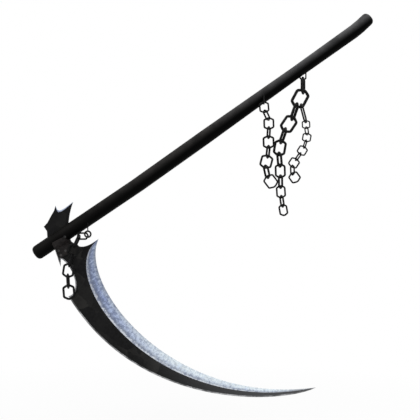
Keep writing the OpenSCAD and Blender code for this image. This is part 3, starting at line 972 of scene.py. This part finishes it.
@dataclass
class Stud:
    """A small domed rivet head on the blade's neck."""

    radius: float = 2.6 * MM
    height: float = 1.2 * MM
    rings: int = 8
    sides: int = 24

    def build(self, name: str, at: Vector, way: Vector) -> bpy.types.Object:
        """A dome: at angle a from its top, it is r sin a across and h cos a high.

        Args:
            name: The piece's name and its image point's.
            at: The middle of its foot.
            way: The way that it faces.

        Returns:
            The stud.
        """
        angle = np.linspace(0.06, math.pi / 2, self.rings)[:, None]
        turn = np.arange(self.sides)[None, :] * 2 * math.pi / self.sides
        x = self.radius * np.sin(angle) * np.cos(turn)
        y = self.radius * np.sin(angle) * np.sin(turn)
        z = np.broadcast_to(self.height * np.cos(angle), x.shape)
        local = np.column_stack((x.ravel(), y.ravel(), z.ravel()))
        turned = np.array(way.to_track_quat("Z", "Y").to_matrix())
        vertices = local @ turned.T + np.array(at)
        faces = grid_quads(self.rings, self.sides, close_columns=True).tolist()
        faces += [list(range(self.sides)),
                  list(range((self.rings - 1) * self.sides, self.rings * self.sides))]
        piece = new_piece(name, vertices, faces)
        outward(piece)
        return piece


def on_surface(point: ImagePoint, carriers: Sequence[bpy.types.Object]) -> tuple[Vector, Vector]:
    """Where an image point's ray meets what carries a piece, or the place nearest that ray.

    Args:
        point: The image point.
        carriers: The finished pieces that may carry it.

    Returns:
        The place and the surface's outward way there.
    """
    vertices, faces, start = [], [], 0
    for piece in carriers:
        vertices += [v.co.copy() for v in piece.data.vertices]
        faces += [[start + k for k in p.vertices] for p in piece.data.polygons]
        start = len(vertices)
    tree = BVHTree.FromPolygons(vertices, faces)
    way = VIEW.ray(point.x, point.y)
    at, normal, _, _ = tree.ray_cast(VIEW.centre, way)
    if at is None:
        shares = np.linspace(0.5, 1.5, 400)
        reach = VIEW.centre.length
        hits = [tree.find_nearest(VIEW.centre + way * reach * s) for s in shares]
        at, normal, _, _ = min(hits, key=lambda hit: hit[3])
    return at, normal if normal.dot(way) < 0 else -normal


# ---- the stage ----

@dataclass(frozen=True)
class Stage:
    """A pale floor below the picture, soft lamps, and a white room."""

    floor_drop: float = 0.12
    floor_size: float = 60.0
    floor_glow: float = 0.85
    shadow_reach: tuple[float, float] = (0.35, 1.4)
    room_light: float = 0.5
    key_at: tuple[float, float, float] = (-1.7, -1.9, 2.2)
    key_to: tuple[float, float, float] = (0.0, 0.0, -0.1)
    key_side: float = 1.8
    key_power: float = 34.0
    top_at: tuple[float, float, float] = (0.7, -0.5, 2.3)
    top_to: tuple[float, float, float] = (0.1, 0.0, 0.0)
    top_side: float = 1.5
    top_power: float = 40.0

    def build(self) -> None:
        """Makes the floor, the lamps and the world."""
        self.make_floor()
        self.make_lamp("key_lamp", self.key_at, self.key_to, self.key_side, self.key_power)
        self.make_lamp("top_lamp", self.top_at, self.top_to, self.top_side, self.top_power)
        self.make_world()

    def make_floor(self) -> None:
        """A wide flat floor under the scythe's lowest point."""
        low = CAD_BOX[0]
        half, z = self.floor_size / 2, low[2] - self.floor_drop
        corners = np.array([[-half, -half, z], [half, -half, z], [half, half, z],
                            [-half, half, z]])
        floor = new_piece("floor", corners, [[0, 1, 2, 3]], smooth=False)
        material = bpy.data.materials.new("pale_floor")
        material.use_nodes = True
        tree = material.node_tree
        tree.nodes.clear()
        nodes = Nodes(tree)
        matt = nodes.add("ShaderNodeBsdfDiffuse", {"Color": rgb(0.9, 0.9, 0.9)})
        glow = nodes.add("ShaderNodeEmission", {"Color": rgb(1, 1, 1), "Strength": 1.0})
        flat = nodes.add("ShaderNodeVectorMath", {0: nodes.place(), 1: (1.0, 1.0, 0.0)},
                         operation="MULTIPLY")
        away = nodes.add("ShaderNodeVectorMath", {0: flat.outputs[0]}, operation="LENGTH")
        share = nodes.spread(away.outputs["Value"], *self.shadow_reach, self.floor_glow, 1.0)
        part = nodes.sum(self.seen(nodes), share, "MULTIPLY")
        mixed = nodes.add("ShaderNodeMixShader", {0: part, 1: matt.outputs[0],
                                                  2: glow.outputs[0]})
        nodes.add("ShaderNodeOutputMaterial", {"Surface": mixed.outputs[0]})
        floor.data.materials.append(material)

    def seen(self, nodes: Nodes) -> bpy.types.NodeSocket:
        """One for what the camera sees directly, in a reflection or through glass.

        Args:
            nodes: The node writer.

        Returns:
            The value, 0 or 1.
        """
        path = nodes.add("ShaderNodeLightPath")
        either = nodes.sum(path.outputs["Is Camera Ray"], path.outputs["Is Glossy Ray"],
                           "MAXIMUM")
        return nodes.sum(either, path.outputs["Is Transmission Ray"], "MAXIMUM")

    def make_lamp(self, name: str, at: tuple[float, float, float],
                  to: tuple[float, float, float], size: float, power: float) -> None:
        """A square soft lamp.

        Args:
            name: Its name.
            at: Where it is.
            to: What it points at.
            size: Its side.
            power: Its watts.
        """
        data = bpy.data.lights.new(name, "AREA")
        data.size, data.energy = size, power
        lamp = bpy.data.objects.new(name, data)
        lamp.location = at
        lamp.rotation_euler = (Vector(to) - Vector(at)).to_track_quat("-Z", "Y").to_euler()
        bpy.context.scene.collection.objects.link(lamp)

    def make_world(self) -> None:
        """A world that lights evenly and shows white."""
        world = bpy.data.worlds.new("white_room")
        bpy.context.scene.world = world
        world.use_nodes = True
        tree = world.node_tree
        tree.nodes.clear()
        nodes = Nodes(tree)
        strength = nodes.spread(self.seen(nodes), 0.0, 1.0, self.room_light, 1.0)
        back = nodes.add("ShaderNodeBackground", {"Color": rgb(1, 1, 1), "Strength": strength})
        nodes.add("ShaderNodeOutputWorld", {"Surface": back.outputs[0]})


# ---- the scythe ----

@dataclass
class Finishes:
    """Every finish of the scythe, made once."""

    pole: bpy.types.Material
    flat: bpy.types.Material
    edge: bpy.types.Material
    spine: bpy.types.Material
    chain: bpy.types.Material
    cheek: bpy.types.Material
    pin: bpy.types.Material
    stud: bpy.types.Material

    @classmethod
    def make(cls) -> "Finishes":
        """Makes the finishes' materials."""
        return cls(
            pole=StainedPole("stained_pole", specular=0.03, bump=0.12).make(),
            flat=DarkPlate("dark_plate", specular=0.1, bump=0.15).make(),
            edge=GroundEdge("ground_edge", metallic=0.1, specular=0.4, bump=0.12).make(),
            spine=BrightBevel("bright_bevel", metallic=0.2, specular=0.5, bump=0.1).make(),
            chain=Wrought("black_iron", specular=0.12, bump=0.3).make(),
            cheek=Wrought("brown_iron", specular=0.15, bump=0.4, deep=rgb(0.006, 0.005, 0.005),
                          worn=rgb(0.023, 0.0185, 0.018), patches=60.0).make(),
            pin=Wrought("filed_iron", specular=0.4, bump=0.2, deep=rgb(0.012, 0.012, 0.012),
                        worn=rgb(0.04, 0.038, 0.036)).make(),
            # The stud's pale grey is partly worn bright iron and partly a painted highlight for
            # its glint.
            stud=Wrought("stud_wear_and_glint", metallic=0.3, specular=0.5, bump=0.1,
                         deep=rgb(0.12, 0.12, 0.125), worn=rgb(0.3, 0.3, 0.31)).make())


@dataclass
class Scythe:
    """The whole scythe: CAD nodes with better finishes, and pieces that stand for the others."""

    finishes: Finishes
    edge_roll: float = 18.0
    # Links fuller or slimmer than the rest.
    fullness: dict[str, float] = field(default_factory=lambda: {
        "side_link_1": -0.3, "near_link_9": 0.05, "long_link_7": 0.2, "long_link_9": 0.2,
        "head_link_2": 0.5, "head_link_3": 0.45})
    pieces: dict[str, bpy.types.Object] = field(default_factory=dict)

    def dress_nodes(self) -> None:
        """Gives the CAD nodes that stay their finishes."""
        wear = {"pole": self.finishes.pole, "front_cheek": self.finishes.cheek,
                "rear_cheek": self.finishes.cheek, "tang_pins": self.finishes.pin,
                "flange_rivets": self.finishes.pin, "near_staple": self.finishes.chain,
                "long_staple": self.finishes.chain, "head_eye": self.finishes.chain}
        for name, material in wear.items():
            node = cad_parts[name]
            for slot in node.material_slots:
                slot.material = material
            self.pieces[name] = node
            LOG.info("dressed %s", name)

    def make_blade(self) -> None:
        """Makes the blade's plate and the stud on its neck."""
        blade = Blade().build()
        for material in (self.finishes.flat, self.finishes.edge, self.finishes.spine):
            blade.data.materials.append(material)
        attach(blade, "root")
        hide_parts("blade")
        self.pieces[blade.name] = blade
        LOG.info("made %s", blade.name)
        at, way = on_surface(IMAGE_POINTS["neck_stud"], [blade])
        stud = Stud().build("neck_stud", at, way)
        stud.data.materials.append(self.finishes.stud)
        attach(stud, "root")
        self.pieces[stud.name] = stud
        LOG.info("made %s", stud.name)

    def make_chains(self) -> None:
        """Makes the head chain's collar and every chain's links, each link on its own body."""
        collar = EyeCollar().build()
        collar.data.materials.append(self.finishes.chain)
        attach(collar, "root")
        self.pieces[collar.name] = collar
        links = [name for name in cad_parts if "_link_" in name]
        for name in sorted(links):
            link = ChainLink(name)
            link.fuller = self.fullness.get(name, link.fuller)
            # The slim link runs through the long chain's loop, so it keeps the CAD link's turn.
            slim = link.fuller < 0
            if "head" not in name and not slim and abs(link.axes()[1][2, 1]) < 0.5:
                link.roll = self.edge_roll
            piece = link.build()
            piece.data.materials.append(self.finishes.chain)
            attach(piece, name)
            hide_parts(name)
            self.pieces[piece.name] = piece
        LOG.info("made %d chain links", len(links))


# ---- how true it is ----

def write_points(pieces: dict[str, bpy.types.Object]) -> None:
    """Finds where the outline's edges and each image point's piece show in the picture; nothing is
    written or kept.

    Args:
        pieces: The shown pieces by name.
    """
    seen = {name: VIEW.pixels(vertices_of(piece)) for name, piece in pieces.items()}
    every = np.vstack(list(seen.values()))
    for edge, value in OUTLINE_POINTS.items():
        axis, sign = edge.value
        found = float(every[(sign * every[:, axis]).argmax(), axis])
    for name, point in IMAGE_POINTS.items():
        places = seen[point.piece]
        if point.way is None:
            found = (places.max(axis=0) + places.min(axis=0)) / 2
        else:
            away = np.linalg.norm(places - (point.x, point.y), axis=1)
            near = places[away < point.round_it]
            found = near[(near @ np.array(point.way)).argmax()]


def main() -> None:
    """Builds the camera, the stage and the scythe, and finds where the image points show."""
    logging.basicConfig(level=logging.INFO)
    VIEW.make_camera()
    bpy.context.scene.view_settings.view_transform = "Standard"
    scythe = Scythe(Finishes.make())
    scythe.dress_nodes()
    scythe.make_blade()
    scythe.make_chains()
    Stage().build()
    write_points(scythe.pieces)


if __name__ == "__main__":
    main()
